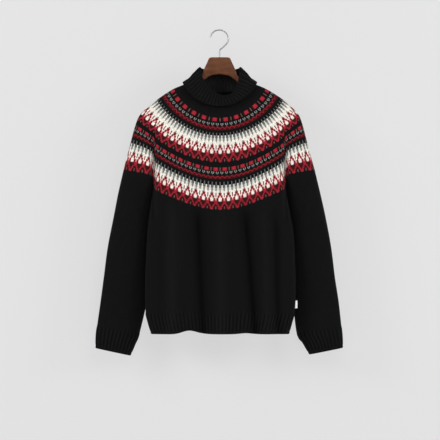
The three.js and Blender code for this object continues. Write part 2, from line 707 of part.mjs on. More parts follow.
// A loft along X: a rounded upright section at each station, and flat tips.
function addWood() {
  const half = woodStations();
  const mirrored = half.slice(1).reverse().map((station) => ({ ...station, x: -station.x }));
  const stations = [...mirrored, ...half];
  const positions = stations.flatMap(({ x, top, bottom }) => {
    const side = WOOD_THICKNESS / 2;
    const round = Math.min(WOOD_BEVEL, (top - bottom) / 3);
    const corner = WOOD_CORNER * round;
    const back = [
      [side - round, top],
      [side - corner, top - corner],
      [side, top - round],
      [side, bottom + round],
      [side - corner, bottom + corner],
      [side - round, bottom],
    ];
    const front = [...back].reverse().map(([y, z]) => [-y, z]);
    return [...back, ...front].flatMap(([y, z]) => [x, y, z]);
  });
  const size = positions.length / (3 * stations.length);
  const faces = [];
  for (let i = 0; i < stations.length - 1; i += 1) {
    joinRings(faces, i * size, (i + 1) * size, size);
  }
  const last = (stations.length - 1) * size;
  for (let i = 1; i < size - 1; i += 1) {
    faces.push(0, i + 1, i, last, last + i, last + i + 1);
  }
  addMesh("hanger_wood", facingOut(positions, faces), COLOURS.wood);
}

// The wire runs from its tip on the left over the top, and back under to the stem in the wood.
function addHook() {
  const centreZ = HOOK_WIRE / 2 - HOOK_RADIUS;
  const bend = evenLevels(HOOK_BEND.tip, HOOK_BEND.end, HOOK_BEND.steps).map((degrees) => {
    const turn = THREE.MathUtils.degToRad(degrees);
    const x = HOOK_CENTRE_X + HOOK_RADIUS * Math.cos(turn);
    return new THREE.Vector3(x, 0, centreZ + HOOK_RADIUS * Math.sin(turn));
  });
  const foot = { x: 0, z: WOOD_HEAD[0].top + SEAM };
  const stem = [...HOOK_STEM, foot].map(({ x, z }) => new THREE.Vector3(x, 0, z));
  const path = new THREE.CatmullRomCurve3([...bend, ...stem], false, "centripetal");
  const turns = evenLevels(0, 2 * Math.PI, WIRE_SIDES).slice(0, -1);
  const radius = HOOK_WIRE / 2;
  const section = turns.map((turn) => new THREE.Vector2(radius * Math.cos(turn), radius * Math.sin(turn)));
  const wire = new THREE.ExtrudeGeometry(new THREE.Shape(section), { steps: WIRE_STEPS, extrudePath: path });
  addMesh("hanger_hook", wire, COLOURS.chrome);
}

addCollar();
addYoke();
addBodyPanel("front", Math.PI, -1);
addBodyPanel("back", 0, 1);
addSleeve("left", -1);
addSleeve("right", 1);
addLabel();
addWood();
addHook();

export default jumper;
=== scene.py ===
# Looks of the fair isle jumper on its hanger. Sizes are in millimetres until a mesh is made, and the
# forms repeat the named sizes and tables of the part's source, with finer steps and creases.

import math

import bpy
import numpy as np
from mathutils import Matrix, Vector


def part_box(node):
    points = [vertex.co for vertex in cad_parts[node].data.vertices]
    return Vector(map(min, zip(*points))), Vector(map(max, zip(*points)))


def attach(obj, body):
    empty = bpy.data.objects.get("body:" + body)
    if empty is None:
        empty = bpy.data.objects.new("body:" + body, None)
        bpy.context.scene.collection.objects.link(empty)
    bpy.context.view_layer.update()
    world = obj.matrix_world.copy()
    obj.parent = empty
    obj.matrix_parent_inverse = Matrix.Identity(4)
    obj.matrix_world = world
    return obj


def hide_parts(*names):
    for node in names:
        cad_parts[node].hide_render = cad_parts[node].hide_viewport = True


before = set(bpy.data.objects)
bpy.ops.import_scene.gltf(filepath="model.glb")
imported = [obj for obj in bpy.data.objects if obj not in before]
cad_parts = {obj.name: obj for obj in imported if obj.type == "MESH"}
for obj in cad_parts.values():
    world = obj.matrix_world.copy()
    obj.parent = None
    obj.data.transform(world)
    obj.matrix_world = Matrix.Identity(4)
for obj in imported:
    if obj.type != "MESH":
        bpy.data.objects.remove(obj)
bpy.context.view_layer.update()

MM = 0.001
WALL = 2.6
RIB_RISE = 1.2
COLLAR_LAYER_GAP = 1.3
COLLAR_RIBS = 48
COLLAR_EDGE = 0.014
COLLAR_SIDE_REACH = 2.2
COLLAR_FLARE = 4
HEM_RIBS_A_SIDE = 44
CUFF_RIBS = 24
HEM_SEAM_Z = -773
HEM_EDGE_Z = -833
STITCH = 2.8
ROW = 2.4

HOOK_WIRE = 3.6
HOOK_RADIUS = 25
WOOD_TOP_Z = -73
WOOD_THICKNESS = 13
ARM_ROOT_X = 49
ARM_TIP_X = 191
ARM_HEIGHT = 20
ARM_TIP_HEIGHT = 13
CLOTH_CLEARANCE = 2.4
CAD_WALL = 3
WOOD_HEAD = (
    (0, -73, -120),
    (22, -73, -123),
    (28.5, -75.5, -126),
    (35, -89, -130),
    (42, -104, -135),
    (49, -121, -141),
    (72, -142, -162),
)


def table(columns, *rows):
    names = columns.split()
    return {name: np.array([row[i] for row in rows], float) for i, name in enumerate(names)}


YOKE = table(
    "at left right sideZ frontZ backZ bow lean fold notch step front back",
    (-0.3, 51, 54, -101, -176, -108, 0.42, 20, 36, 0, 0, 33, 25),
    (-0.15, 68, 71, -121, -192, -138, 0.55, 10, 50, 0, 0, 37, 29),
    (0, 86, 88, -142, -206, -168, 0.7, 0, 64, 0, 0, 40, 33),
    (0.13, 129, 130, -161, -244, -206, 0.75, 0, 95, 0, 0, 42, 37),
    (0.3, 176, 179, -193, -294, -258, 0.8, 0, 140, 0, 0, 44, 40),
    (0.45, 215, 214, -228, -337, -303, 0.9, 0, 168, 3, 4, 46, 42),
    (0.57, 229, 226, -256, -371, -340, 1.05, 0, 177, 9, 12, 47, 44),
    (0.78, 246, 242, -317, -430, -402, 1.3, 0, 180, 19, 24, 48, 46),
    (1, 264, 261.5, -385, -492, -465, 1.5, 0, 181, 26, 32, 48, 47),
)
BODY = table(
    "z left right front back",
    (-400, 181, 181, 48, 47),
    (-476, 192, 191, 48, 47),
    (-545, 198, 202, 46, 46),
    (-621, 202, 207, 44, 44),
    (-712, 205, 209, 42, 42),
    (-773, 203, 206, 40, 40),
    (-803, 196, 198, 38, 38),
    (-833, 187, 190, 36, 36),
)
SLEEVE_COLUMNS = "at outerX outerZ outerY innerX innerZ innerY thick"
SLEEVES = {
    -1: table(
        SLEEVE_COLUMNS,
        (0, -264, -385, 0, -184, -418, 0, 30),
        (0.15, -277, -443, 1, -188, -462, 20, 29),
        (0.33, -290, -509, 3, -193.5, -520, 26, 27),
        (0.55, -307, -595, 5, -196, -602, 31, 24),
        (0.75, -318, -678, 6, -199, -685, 36, 21),
        (0.9, -327, -745, 7, -203, -755, 38, 18.5),
        (1, -336, -808, 8, -219, -826, 37, 16),
        (1.5, -339.5, -840, 8, -232, -860, 35, 13.5),
        (2, -340, -872, 8, -246, -893, 33, 13),
    ),
    1: table(
        SLEEVE_COLUMNS,
        (0, 261.5, -385, 0, 184, -418, 0, 30),
        (0.15, 275, -443, 1, 187.5, -462, 20, 29),
        (0.33, 290, -509, 3, 194.5, -520, 26, 27),
        (0.55, 306, -595, 5, 200, -602, 33, 24),
        (0.75, 316.5, -678, 6, 203, -685, 38, 21),
        (0.9, 327, -745, 7, 203.5, -755, 39, 18.5),
        (1, 334, -808, 8, 211, -825, 38, 16),
        (1.5, 337, -840, 8, 230, -859, 36, 13.5),
        (2, 338, -871, 8, 248, -890, 34, 13),
    ),
}
FOLD_COLUMNS = "topX hemX out width from"
# Painted light and shade, multiplied into the wool's colour: fold ridges lighter and fold troughs darker per mm out,
# rib tops lighter and rib grooves darker, the inside of the neck lighter, and the yoke's top rows under the collar
# darker.
RIDGE_LIGHT = 0.045
HOLLOW_SHADE = 0.045
RIB_SHADE = 1.0
NECK_LIGHT = 3.4
COLLAR_SHADE = -0.55
SHADED_ROWS = 11
FRONT_FOLDS = table(
    FOLD_COLUMNS,
    (-128, -130, 10, 17, -440),
    (-62, -44, -14, 16, -450),
    (2, 4, 9, 18, -460),
    (66, 98, -14, 15, -450),
    (120, 128, 7, 13, -450),
    (150, 158, -8, 12, -470),
)
BACK_FOLDS = table(
    FOLD_COLUMNS,
    (-120, -138, -8, 16, -430),
    (-66, -78, 6, 17, -450),
    (-14, -22, -8, 16, -440),
    (46, 56, 6, 18, -460),
    (108, 124, -8, 16, -440),
)
HEM_WAVES = table("x rise width", (-78, 10, 34), (66, 3, 26))

YOKE_ROUNDNESS = 2.5
FOLD_HALF_WIDTH = 8
STEP_HALF_WIDTH = 4
STEP_BELOW = 0.25
STEP_REACH = 50
BODY_ROUNDNESS = 2.6
SLEEVE_ROUNDNESS = 2.3
UNDERARM_ANGLE = 0.36
UNDERARM_DROP = 14
HEM_SEAM_WAVE = 0.12
BLEND_END = 0.4
FOLD_RAMP = 90
EDGE_REACH = 0.15
ANGLE_STEP = 0.01
LEVEL_STEP = 0.004

# Fine creases, as soft ridges and troughs from one point to another. out is negative in a trough.
CREASE_COLUMNS = "x1 z1 x2 z2 width out"
FRONT_CREASES = table(
    CREASE_COLUMNS,
    (-172, -392, -138, -470, 9, -2.2),
    (-176, -420, -118, -512, 8, 1.6),
    (-166, -360, -150, -412, 8, -1.4),
    (174, -388, 142, -462, 9, -2.4),
    (176, -424, 126, -520, 8, 1.5),
    (164, -352, 146, -404, 7, -1.3),
    (-186, -470, -160, -560, 10, -1.8),
    (188, -476, 166, -548, 9, -1.6),
    (-96, -500, -102, -690, 9, 1.5),
    (-30, -520, -18, -742, 10, -1.7),
    (40, -505, 52, -650, 9, 1.6),
    (34, -640, 60, -760, 8, -1.3),
    (108, -560, 112, -720, 8, -1.4),
    (-160, -600, -150, -750, 11, -2.0),
    (176, -610, 170, -748, 10, 1.8),
    (-74, -262, -92, -330, 9, -1.2),
    (82, -270, 106, -350, 9, -1.3),
    (-12, -300, -16, -420, 12, -1.1),
    (-128, -236, -166, -300, 9, 1.2),
    (130, -232, 164, -290, 9, 1.1),
    (-248, -420, -214, -470, 9, -2.6),
    (-258, -450, -214, -520, 9, 2.0),
    (-268, -520, -226, -556, 10, -2.2),
    (-284, -590, -232, -640, 10, -1.9),
    (-296, -660, -240, -672, 9, 1.7),
    (-308, -716, -236, -738, 9, -2.1),
    (-318, -762, -246, -786, 8, 1.9),
    (-262, -560, -268, -690, 12, 1.8),
    (246, -416, 214, -462, 9, -2.4),
    (256, -446, 216, -528, 9, 2.1),
    (270, -528, 228, -572, 10, -2.3),
    (288, -604, 234, -634, 10, -1.8),
    (298, -654, 240, -690, 9, 1.9),
    (306, -722, 232, -744, 9, -2.2),
    (318, -768, 240, -782, 8, 1.8),
    (258, -548, 272, -676, 12, 1.7),
)
BACK_CREASES = table(
    CREASE_COLUMNS,
    (-174, -386, -140, -456, 9, -2.2),
    (-178, -430, -126, -500, 9, 1.6),
    (172, -380, 136, -450, 9, -2.3),
    (178, -436, 120, -516, 8, 1.7),
    (-60, -190, -120, -232, 10, -1.3),
    (62, -192, 116, -228, 10, -1.2),
    (-20, -240, -26, -380, 12, 1.2),
    (-94, -500, -104, -700, 9, 1.6),
    (-40, -540, -52, -742, 10, -1.5),
    (16, -500, 22, -680, 9, 1.5),
    (80, -560, 92, -748, 9, -1.8),
    (150, -520, 152, -690, 11, 1.7),
    (-168, -560, -160, -740, 11, -1.8),
    (-250, -416, -214, -476, 9, -2.3),
    (-266, -500, -226, -548, 10, 2.0),
    (-284, -596, -236, -630, 10, -2.1),
    (-300, -668, -242, -700, 9, 1.8),
    (-312, -730, -244, -756, 9, -2.0),
    (-266, -540, -276, -690, 12, 1.5),
    (248, -420, 216, -480, 9, -2.4),
    (264, -506, 224, -556, 10, 2.1),
    (284, -590, 236, -640, 10, -2.0),
    (300, -676, 242, -690, 9, 1.7),
    (312, -736, 240, -752, 9, -2.2),
    (262, -560, 274, -700, 12, 1.6),
)

# Small helpers


def smooth(start, end, value):
    t = np.clip((value - start) / (end - start), 0, 1)
    return t * t * (3 - 2 * t)


def bell(distance, width):
    return np.exp(-((distance / width) ** 2))


def signed_power(value, power):
    return np.sign(value) * np.abs(value) ** power


def wrap_angle(angle):
    return np.arctan2(np.sin(angle), np.cos(angle))


def unit(vectors):
    return vectors / np.maximum(np.linalg.norm(vectors, axis=-1, keepdims=True), 1e-12)


def read_table(rows, key, column, value):
    """A smooth curve through one column of a table, along its key column."""
    keys, cells = rows[key], rows[column]
    if keys[0] > keys[-1]:
        keys, cells = keys[::-1], cells[::-1]
    value = np.asarray(value, float)
    i = np.clip(np.searchsorted(keys, value, side="left") - 1, 0, len(keys) - 2)
    slopes = np.empty(len(keys))
    slopes[1:-1] = (cells[2:] - cells[:-2]) / (keys[2:] - keys[:-2])
    slopes[0] = (cells[1] - cells[0]) / (keys[1] - keys[0])
    slopes[-1] = (cells[-1] - cells[-2]) / (keys[-1] - keys[-2])
    span = keys[i + 1] - keys[i]
    free = (value - keys[i]) / span
    t = np.clip(free, 0, 1)
    across = 3 * t**2 - 2 * t**3
    start = (t**3 - 2 * t**2 + t) * span * slopes[i]
    end = (t**3 - t**2) * span * slopes[i + 1]
    curve = cells[i] * (1 - across) + cells[i + 1] * across + start + end
    return curve + (free - t) * span * np.where(free < 0, slopes[i], slopes[i + 1])


# Surfaces of the knitting. An angle runs round a tube, anticlockwise from +X seen from above, and a
# level runs down it. Angles and levels may be arrays.


def both(angle, level):
    return np.broadcast_arrays(np.asarray(angle, float), np.asarray(level, float))


def fold_out(folds, x, z):
    out = np.zeros(np.shape(x))
    for top, hem, rise, width, start in zip(*(folds[name] for name in FOLD_COLUMNS.split())):
        along = np.clip((start - z) / (start - HEM_EDGE_Z), 0, 1)
        middle = top + (hem - top) * along
        out += rise * bell(x - middle, width) * smooth(0, FOLD_RAMP, start - z)
    return out


def shade_folds(piece):
    """Paints light and shade into a piece's wool by each point's place in the upright folds: above 0 a
    painted highlight on a ridge, and below 0 painted shade in a trough."""
    flat = np.empty(3 * len(piece.data.vertices))
    piece.data.vertices.foreach_get("co", flat)
    x, y, z = flat.reshape(-1, 3).T / MM
    out = np.where(y > 0, fold_out(BACK_FOLDS, x, z), fold_out(FRONT_FOLDS, x, z))
    painted_light_shade = np.where(out > 0, RIDGE_LIGHT * out, HOLLOW_SHADE * out)
    layer = piece.data.attributes.get("painted_light_shade") or piece.data.attributes.new("painted_light_shade", "FLOAT", "POINT")
    before = np.empty(len(painted_light_shade))
    layer.data.foreach_get("value", before)
    layer.data.foreach_set("value", before + painted_light_shade)


def with_folds(points, is_back):
    x, z = points[..., 0], points[..., 2]
    front, back = fold_out(FRONT_FOLDS, x, z), fold_out(BACK_FOLDS, x, z)
    points[..., 1] += np.where(is_back, back, -front)
    return points


def yoke_base(angle, level):
    angle, level = both(angle, level)
    is_back = np.sin(angle) > 0

    def read(column):
        return read_table(YOKE, "at", column, level)

    half = np.where(np.cos(angle) < 0, read("left"), read("right"))
    reach = np.minimum(1, np.abs(np.cos(angle)))
    from_fold = reach * half - read("fold")
    centre_z = np.where(is_back, read("backZ"), read("frontZ"))
    sweep = np.clip(1 - reach * reach, 0, 1) ** read("bow")
    step_share = smooth(-STEP_HALF_WIDTH, STEP_HALF_WIDTH, from_fold) - STEP_BELOW
    step = np.maximum(0, read("step")) * step_share * bell(from_fold, STEP_REACH)
    lean = np.where(is_back, 0, read("lean") * np.cos(angle) * sweep)
    z = read("sideZ") + (centre_z - read("sideZ")) * sweep + step - lean
    depth = np.where(is_back, read("back"), read("front"))
    full = depth * np.clip(1 - reach**YOKE_ROUNDNESS, 0, 1) ** (1 / YOKE_ROUNDNESS)
    notch = np.maximum(0, read("notch")) * bell(from_fold, FOLD_HALF_WIDTH)
    y = full - notch * np.clip(full / depth, 0, 1)
    return np.stack([half * np.cos(angle), np.where(is_back, y, -y), z], -1)


def yoke_surface(angle, level):
    return with_folds(yoke_base(angle, level), np.sin(both(angle, level)[0]) > 0)


def yoke_angle_at(x, level, is_back):
    left, right = (read_table(YOKE, "at", side, level) for side in ("left", "right"))
    half = np.where(np.asarray(x) < 0, left, right)
    angle = np.arccos(np.clip(x / half, -1, 1))
    return np.where(is_back, angle, -angle)


def underarm(side, share, gap_share):
    """From the front armhole fold, under the arm, to the back one, as share runs from 0 to 1."""
    share = np.asarray(share, float)[..., None]
    points = {}
    for s in (-1, 1):
        x = s * (YOKE["fold"][-1] + gap_share * SEAM)
        front, back = (yoke_base(yoke_angle_at(x, 1, is_back), 1) for is_back in (False, True))
        points[s] = front + (back - front) * share
    chosen = np.where(np.asarray(side)[..., None] < 0, points[-1], points[1])
    chosen[..., 2] -= UNDERARM_DROP * np.sin(math.pi * share[..., 0])
    return chosen


SEAM = 0.3


def body_turn(angle):
    """How far an angle lies from the nearer side of the body, positive behind."""
    return np.where(np.cos(angle) < 0, wrap_angle(math.pi - angle), wrap_angle(angle))


def yoke_angle_over_body(angle):
    turn = body_turn(angle)
    share = (np.abs(wrap_angle(angle)) - UNDERARM_ANGLE) / (math.pi - 2 * UNDERARM_ANGLE)
    fold = YOKE["fold"][-1] - 0.5 * SEAM
    over = yoke_angle_at(fold * np.cos(np.clip(share, 0, 1) * math.pi), 1, turn > 0)
    return over, np.abs(turn) >= UNDERARM_ANGLE - 1e-9


def body_top(angle):
    over, hangs = yoke_angle_over_body(angle)
    side = np.where(np.cos(angle) < 0, -1, 1)
    under = underarm(side, (body_turn(angle) / UNDERARM_ANGLE + 1) / 2, -0.5)
    return np.where(hangs[..., None], yoke_base(over, 1), under)


def hem_wave(x):
    waves = zip(HEM_WAVES["x"], HEM_WAVES["rise"], HEM_WAVES["width"])
    return sum(rise * bell(x - middle, width) for middle, rise, width in waves)


def body_section(angle, z):
    half = np.where(np.cos(angle) < 0, read_table(BODY, "z", "left", z), read_table(BODY, "z", "right", z))
    depth = np.where(np.sin(angle) > 0, read_table(BODY, "z", "back", z), read_table(BODY, "z", "front", z))
    power = 2 / BODY_ROUNDNESS
    x = half * signed_power(np.cos(angle), power)
    return np.stack([x, depth * signed_power(np.sin(angle), power), z], -1)


def body_surface(angle, level):
    """Body and hem. A level runs from 0 to 1 down the body, and from 1 to 2 down the hem."""
    angle, level = both(angle, level)
    top = body_top(angle)
    is_back = np.sin(angle) > 0
    wave = hem_wave(top[..., 0])
    seam_z = HEM_SEAM_Z + HEM_SEAM_WAVE * wave
    edge_z = HEM_EDGE_Z + wave
    body_z = top[..., 2] + (seam_z - top[..., 2]) * level
    z = np.where(level < 1, body_z, seam_z + (edge_z - seam_z) * (level - 1))
    point = body_section(angle, z)
    pull = 1 - smooth(0, BLEND_END, level)
    offset = top - body_section(angle, top[..., 2])
    point[..., :2] += offset[..., :2] * pull[..., None]
    return with_folds(point, is_back)


body_surface.yoke_angle = yoke_angle_over_body


def sleeve_turn(side, angle):
    return wrap_angle(angle) if side > 0 else wrap_angle(math.pi - angle)


def yoke_angle_over_sleeve(side, turn):
    inner = math.pi - UNDERARM_ANGLE
    half = YOKE["left" if side < 0 else "right"][-1]
    fold = YOKE["fold"][-1] + 0.5 * SEAM
    x = fold + ((half - fold) * (1 + np.cos(math.pi * np.clip(turn / inner, -1, 1)))) / 2
    return yoke_angle_at(side * x, 1, turn > 0), np.abs(turn) <= inner + 1e-9


def sleeve_top(side, turn):
    over, hangs = yoke_angle_over_sleeve(side, turn)
    from_inner = wrap_angle(turn + math.pi)
    sides = np.full(np.shape(turn), side)
    under = underarm(sides, (1 - from_inner / UNDERARM_ANGLE) / 2, 0.5)
    return np.where(hangs[..., None], yoke_base(over, 1), under)


def sleeve_section(side, turn, level):
    def point(edge):
        return np.stack([read_table(SLEEVES[side], "at", edge + axis, level) for axis in "XYZ"], -1)

    outer, inner = point("outer"), point("inner")
    half = (outer - inner) / 2
    across = unit(np.stack([-half[..., 1] * side, np.abs(half[..., 0]), np.zeros(level.shape)], -1))
    power = 2 / SLEEVE_ROUNDNESS
    thick = read_table(SLEEVES[side], "at", "thick", level)
    wide = signed_power(np.cos(turn), power)[..., None]
    return (outer + inner) / 2 + half * wide + across * (thick * signed_power(np.sin(turn), power))[..., None]


def sleeve_surface(side):
    """Sleeve and cuff. A level runs from 0 to 1 down the sleeve, and from 1 to 2 down the cuff."""

    def surface(angle, level):
        angle, level = both(angle, level)
        turn = sleeve_turn(side, angle)
        pull = 1 - smooth(0, BLEND_END, level)
        offset = sleeve_top(side, turn) - sleeve_section(side, turn, np.zeros(level.shape))
        return sleeve_section(side, turn, level) + offset * pull[..., None]

    surface.yoke_angle = lambda angle: yoke_angle_over_sleeve(side, sleeve_turn(side, angle))
    return surface


def normals(surface, angle, level):
    level_up, level_down = level - LEVEL_STEP, level + LEVEL_STEP
    around = surface(angle + ANGLE_STEP, level) - surface(angle - ANGLE_STEP, level)
    down = surface(angle, level_down) - surface(angle, level_up)
    return unit(np.cross(down, around))


def crease_out(creases, x, z):
    out = np.zeros(x.shape)
    for x1, z1, x2, z2, width, rise in zip(*(creases[name] for name in CREASE_COLUMNS.split())):
        length = (x2 - x1) ** 2 + (z2 - z1) ** 2
        along = ((x - x1) * (x2 - x1) + (z - z1) * (z2 - z1)) / length
        held = np.clip(along, 0, 1)
        apart = np.hypot(x - x1 - held * (x2 - x1), z - z1 - held * (z2 - z1))
        out += rise * bell(apart, width) * (1 - 0.75 * np.abs(2 * held - 1) ** 3)
    return out


def moved_out(surface, angle, level, out):
    """Points moved out of their surface, with its fine creases. Below the yoke the direction starts
    as the yoke's own, so that the pieces meet edge to edge."""
    angle, level = both(angle, level)
    facing = normals(surface, angle, level)
    over = getattr(surface, "yoke_angle", None)
    if over is not None:
        yoke_angle, hangs = over(angle)
        near = np.where(hangs, 1 - smooth(0, EDGE_REACH, level), 0)[..., None]
        facing = unit(facing * (1 - near) + normals(yoke_surface, yoke_angle, np.ones(level.shape)) * near)
    points = surface(angle, level)
    x, z = points[..., 0], points[..., 2]
    front_share = smooth(0.1, 0.6, -facing[..., 1])
    back_share = smooth(0.1, 0.6, facing[..., 1])
    crease = crease_out(FRONT_CREASES, x, z) * front_share + crease_out(BACK_CREASES, x, z) * back_share
    return points + facing * (out + crease)[..., None]


def even_angles(surface, level, start, end, count):
    """Angles round a surface whose columns are evenly spaced at one level."""
    marks = np.linspace(start, end, 1441)
    points = surface(marks, np.full(marks.shape, float(level)))
    lengths = np.concatenate([[0], np.cumsum(np.linalg.norm(np.diff(points, axis=0), axis=1))])
    return np.interp(np.linspace(0, lengths[-1], count + 1), lengths, marks), lengths[-1]


# Meshes


class Parts:
    """Points and faces of one mesh, gathered bit by bit. Each face has its corners' stitch
    coordinates and one colour."""

    def __init__(self):
        self.points, self.faces, self.uvs, self.colours = [], [], [], []
        self.count = 0
        self.painted_light_shade = None

    def add_points(self, points):
        flat = np.reshape(points, (-1, 3))
        first = self.count
        self.points.append(flat)
        self.count += len(flat)
        return np.arange(first, self.count).reshape(np.shape(points)[:-1])

    def add_faces(self, corners, uvs=None, colours=(0, 0, 0)):
        corners = np.asarray(corners).reshape(-1, np.shape(corners)[-1])
        size = corners.shape[1]
        self.faces += corners.tolist()
        self.uvs.append(np.zeros((len(corners) * size, 2)) if uvs is None else np.reshape(uvs, (-1, 2)))
        spread = np.broadcast_to(colours, (len(corners), 3))
        self.colours.append(np.repeat(spread, size, axis=0))

    def build(self, name, material, sharp=50, coloured=False):
        mesh = bpy.data.meshes.new(name)
        mesh.from_pydata((np.concatenate(self.points) * MM).tolist(), [], self.faces)
        layer = mesh.uv_layers.new(name="stitches")
        layer.data.foreach_set("uv", np.concatenate(self.uvs).ravel())
        if coloured:
            yarn = mesh.color_attributes.new("yarn", "FLOAT_COLOR", "CORNER")
            colours = np.concatenate(self.colours)
            full = np.concatenate([colours, np.ones((len(colours), 1))], axis=1)
            yarn.data.foreach_set("color", full.ravel())
        # Painted light and shade for each point, which the wool's colour is multiplied by.
        if self.painted_light_shade is not None:
            mesh.attributes.new("painted_light_shade", "FLOAT", "POINT").data.foreach_set("value", self.painted_light_shade)
        mesh.shade_smooth()
        mesh.set_sharp_from_angle(angle=math.radians(sharp))
        mesh.materials.append(material)
        piece = bpy.data.objects.new(name, mesh)
        bpy.context.scene.collection.objects.link(piece)
        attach(piece, "root")
        return piece


def swept(name, surface, angles, path, closed, material, stitches_round, rib=None):
    """A solid swept round a surface. path has a level, a distance out, a rib share, a row and painted light
    and shade for each point of the cut edge, and rib gives how far each column stands proud."""
    rib = np.zeros(len(angles)) if rib is None else rib
    outs = path["out"][None, :] + rib[:, None] * path["rib"][None, :]
    parts = Parts()
    grid = parts.add_points(moved_out(surface, angles[:, None], path["level"][None, :], outs))
    # Painted light and shade: rib tops lighter and rib grooves darker, added to the path's own.
    parts.painted_light_shade = path["painted_light_shade"] + RIB_SHADE * (rib[:, None] / RIB_RISE - 0.5) * path["rib"][None, :]
    parts.painted_light_shade = np.broadcast_to(parts.painted_light_shade, grid.shape).ravel()
    columns, size = grid.shape
    spans = columns if closed else columns - 1
    here = np.arange(spans)
    there = (here + 1) % columns
    row = np.arange(size)
    below = (row + 1) % size
    a, b = grid[here][:, row], grid[here][:, below]
    e, d = grid[there][:, below], grid[there][:, row]
    u = np.arange(spans + 1) * stitches_round / spans
    v = path["row"]
    uv = np.zeros((spans, size, 4, 2))
    uv[..., 0:2, 0] = u[:-1, None, None]
    uv[..., 2:4, 0] = u[1:, None, None]
    uv[..., 0, 1] = uv[..., 3, 1] = v[None, :]
    uv[..., 1, 1] = uv[..., 2, 1] = v[below][None, :]
    parts.add_faces(np.stack([a, b, e, d], -1), uv)
    if not closed:
        half = np.arange(size // 2 - 1)
        for column, order in ((grid[0], 1), (grid[-1], -1)):
            cap = np.stack([column[half], column[size - 1 - half], column[size - 2 - half], column[half + 1]], -1)
            parts.add_faces(cap[:, ::order])
    return parts.build(name, material)


def wall_path(levels, outs, ribs, length, inner=-WALL):
    """The cut edge of a wall: down its outer face and up its plain inner face, with rounded edges."""
    levels, outs, ribs = (np.asarray(x, float) for x in (levels, outs, ribs))
    inner_outs = np.full(len(levels), float(inner))
    inner_outs[0] = inner_outs[-1] = inner + 0.5
    level = np.concatenate([levels, levels[::-1]])
    return {
        "level": level,
        "out": np.concatenate([outs, inner_outs[::-1]]),
        "rib": np.concatenate([ribs, 0 * ribs]),
        "row": level * length / ROW,
        "painted_light_shade": 0,
    }


def rib_wave(columns, per_rib):
    """Rounded two-by-two ribs: a pair of knit stitches stands proud and a pair of purl ones sinks."""
    wave = np.cos(2 * math.pi * np.arange(columns) / per_rib)
    return RIB_RISE * (0.5 + 0.5 * np.tanh(2.2 * wave) / math.tanh(2.2))


def zip_rings(first, second):
    """Triangles between two closed rings with different numbers of points."""
    a, b = len(first), len(second)
    faces, shares = [], []
    i = j = 0
    while i < a or j < b:
        if j >= b or (i < a and (i + 1) * b <= (j + 1) * a):
            faces.append((first[i % a], second[j % b], first[(i + 1) % a]))
            shares.append(((i / a, 0), (j / b, 1), ((i + 1) / a, 0)))
            i += 1
        else:
            faces.append((first[i % a], second[j % b], second[(j + 1) % b]))
            shares.append(((i / a, 0), (j / b, 1), ((j + 1) / b, 1)))
            j += 1
    return np.array(faces), np.array(shares)


# The pattern of the yoke, charted. K black, R crimson, M maroon, W off-white, G grey,
# A ash grey, P pink, D dark brown, B brown.

YARNS = {
    "K": (0.0040, 0.0040, 0.0043),
    "R": (0.37, 0.020, 0.034),
    "C": (0.29, 0.017, 0.026),
    "M": (0.058, 0.004, 0.006),
    "W": (0.86, 0.82, 0.73),
    "L": (0.50, 0.50, 0.46),
    "G": (0.125, 0.132, 0.125),
    "A": (0.25, 0.26, 0.24),
    "P": (0.80, 0.33, 0.33),
    "D": (0.018, 0.010, 0.009),
    "B": (0.15, 0.075, 0.065),
}
SQUARES_WIDE = ["RRRRMKKBKKM"] * 4
SQUARES_CLOSE = ["RRRRMKBKM"] * 4
CUPS = ["KAKAK", "KAKAK", "KKAKK"]
ARROWS = ["CMMMC", "MCMCM", "MMCMM", "MMMMM"]
TICKS = ["KKGK", "KKGK", "KKGK"]
TEETH = ["WGGG", "WGGG", "WGGG", "WLGL", "WLGL", "WLGL", "WWGW"]
PEAKS = [
    "WWWWMWWW",
    "WWWLRLWW",
    "MWWMRMWW",
    "MWWRMRWW",
    "RWWRMRWW",
    "RWMRPRMW",
    "RWRMWMRW",
    "WWRPWPRW",
    "WMRWWWRM",
    "PRMWWWMR",
    "PRMWWWMR",
    "RRMPWPMR",
]
POINTS = [
    "RCMDDDMC",
    "RCMMDMMC",
    "CCMMDMMC",
    "MCCMDMCC",
    "KMCMMMCM",
    "KMCCMCCM",
    "BKMCMCMK",
    "BKMCRCMK",
    "BKMCRCMK",
    "KKKMRMKK",
]
FIRST_SET_PITCH = 22.5
YOKE_ROWS = 121


def band(first, pitch, chart, centre):
    return {"first": first, "pitch": pitch, "chart": chart, "centre": centre, "wide": len(chart[0])}


BANDS = [
    band(14, 30, SQUARES_WIDE, 7),
    band(20, 12.6, CUPS, 0),
    band(24, 13, ARROWS, 2),
    band(31, FIRST_SET_PITCH / 2, TICKS, 2),
    band(34, FIRST_SET_PITCH / 2, TEETH + ["WWLW"], 2),
    band(42, FIRST_SET_PITCH, ["WWWWWWWW"] + PEAKS + POINTS, 4),
    band(71, 25, SQUARES_CLOSE, 6),
    band(76, 12.6, CUPS, 0),
    band(81, 13, ARROWS, 2),
    band(88, FIRST_SET_PITCH / 2, TICKS + TICKS[:1], 2),
    band(92, FIRST_SET_PITCH / 2, TEETH, 2),
    band(99, FIRST_SET_PITCH, PEAKS + POINTS, 4),
]
FRONT = -math.pi / 2


def set_middle(row):
    """The row whose girth settles how many repeats a band has: one for all the bands of a set that
    share a count of stitches."""
    if 30 <= row < 67:
        return 50
    return 105 if row >= 86 else row


def count_repeats():
    for item in BANDS:
        middle = set_middle(item["first"] + len(item["chart"]) / 2)
        girth = even_angles(yoke_surface, middle / YOKE_ROWS, FRONT, FRONT + 2 * math.pi, 8)[1]
        halves = 2 if item["wide"] == 4 else 1
        item["repeats"] = halves * round(girth / (item["pitch"] * halves))
        item["stitches"] = item["repeats"] * item["wide"]


